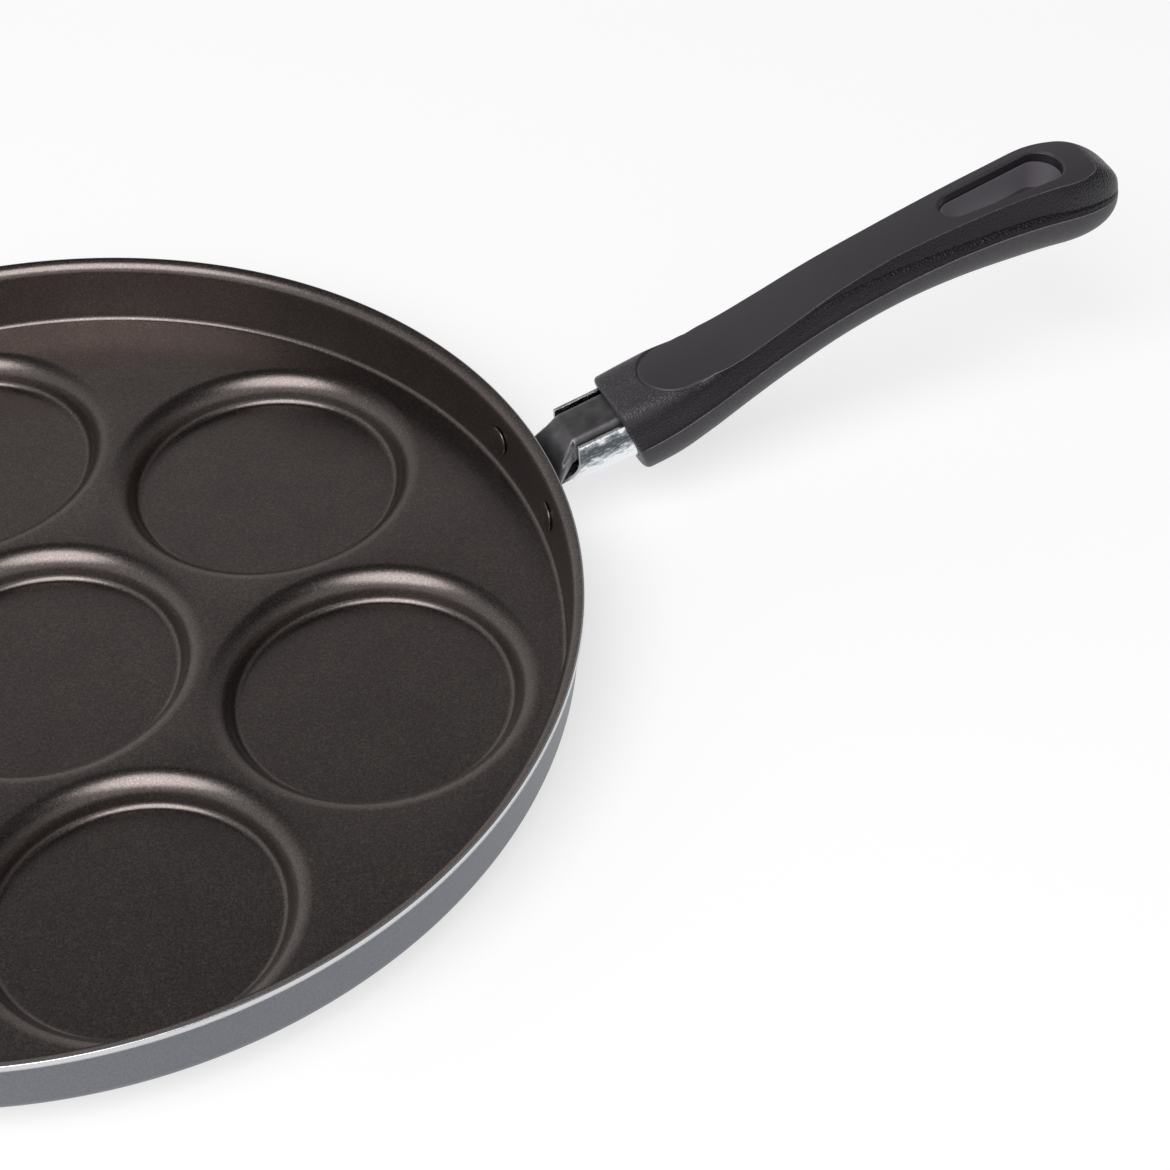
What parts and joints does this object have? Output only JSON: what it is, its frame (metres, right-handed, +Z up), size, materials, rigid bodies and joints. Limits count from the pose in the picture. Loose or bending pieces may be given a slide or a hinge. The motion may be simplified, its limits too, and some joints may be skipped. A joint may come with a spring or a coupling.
{
  "type": "pancake pan",
  "caption": "Round shallow frying pan with a ring of small flat pancake wells, a riveted steel bracket, a plated flame guard and a slotted moulded handle.",
  "frame": {"origin": "centre of the pan on its resting plane, on the underside of the middle well", "axes": "+X from the pan's centre along the handle, +Z up, +Y to the left of the handle seen from the pan"},
  "size_m": [0.4361, 0.27, 0.067],
  "materials": {
    "coated_aluminium": "dark non-stick coating inside, satin grey outside, bare rim edge",
    "rivet_aluminium": "coated flush heads",
    "dark_steel": "dark plated, half bright",
    "bright_steel": "bright plated",
    "grip_plastic": "charcoal, fine grained sides and smooth top panel",
    "screw_steel": "zinc plated"
  },
  "bodies": {
    "root": {"pan_body": "coated_aluminium", "rivet_left": "rivet_aluminium", "rivet_right": "rivet_aluminium", "handle_bracket": "dark_steel", "flame_guard": "bright_steel", "handle_grip": "grip_plastic", "handle_screw": "screw_steel", "screw_washer": "screw_steel"}
  },
  "joints": []
}
